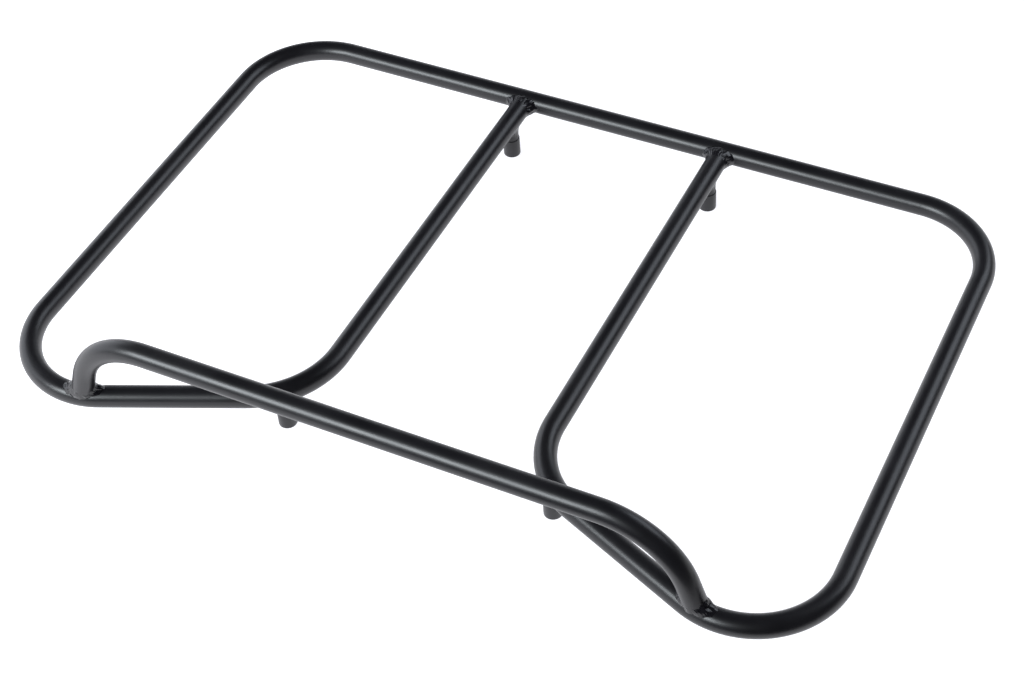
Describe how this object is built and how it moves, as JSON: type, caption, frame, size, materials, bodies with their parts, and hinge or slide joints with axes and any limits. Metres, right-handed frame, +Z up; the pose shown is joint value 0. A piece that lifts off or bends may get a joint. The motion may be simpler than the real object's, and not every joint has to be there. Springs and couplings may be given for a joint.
{
  "type": "rigid tubular luggage rack",
  "caption": "Rigid welded luggage rack of black-coated round steel tube: an open deck, a raised hoop along its front edge and short threaded bosses below it.",
  "frame": {"origin": "middle of the rack's outline, level with the ends of the four bosses", "axes": "+X to the rack's right along the rear rail, +Y from the hoop to the rear rail, +Z up"},
  "size_m": [0.468, 0.317, 0.0795],
  "materials": {
    "tube_coat": "satin black powder coat",
    "boss_coat": "satin black powder coat on turned steel",
    "weld_coat": "satin black powder coat over a rippled weld bead"
  },
  "bodies": {
    "root": {"deck_tube": "tube_coat", "hoop_tube": "tube_coat", "boss_rear_left": "boss_coat", "boss_rear_right": "boss_coat", "boss_front_left": "boss_coat", "boss_front_right": "boss_coat", "weld_rail_left": "weld_coat", "weld_rail_right": "weld_coat", "weld_hoop_left": "weld_coat", "weld_hoop_right": "weld_coat", "weld_boss_rear_left": "weld_coat", "weld_boss_rear_right": "weld_coat", "weld_boss_front_left": "weld_coat", "weld_boss_front_right": "weld_coat"}
  },
  "joints": []
}
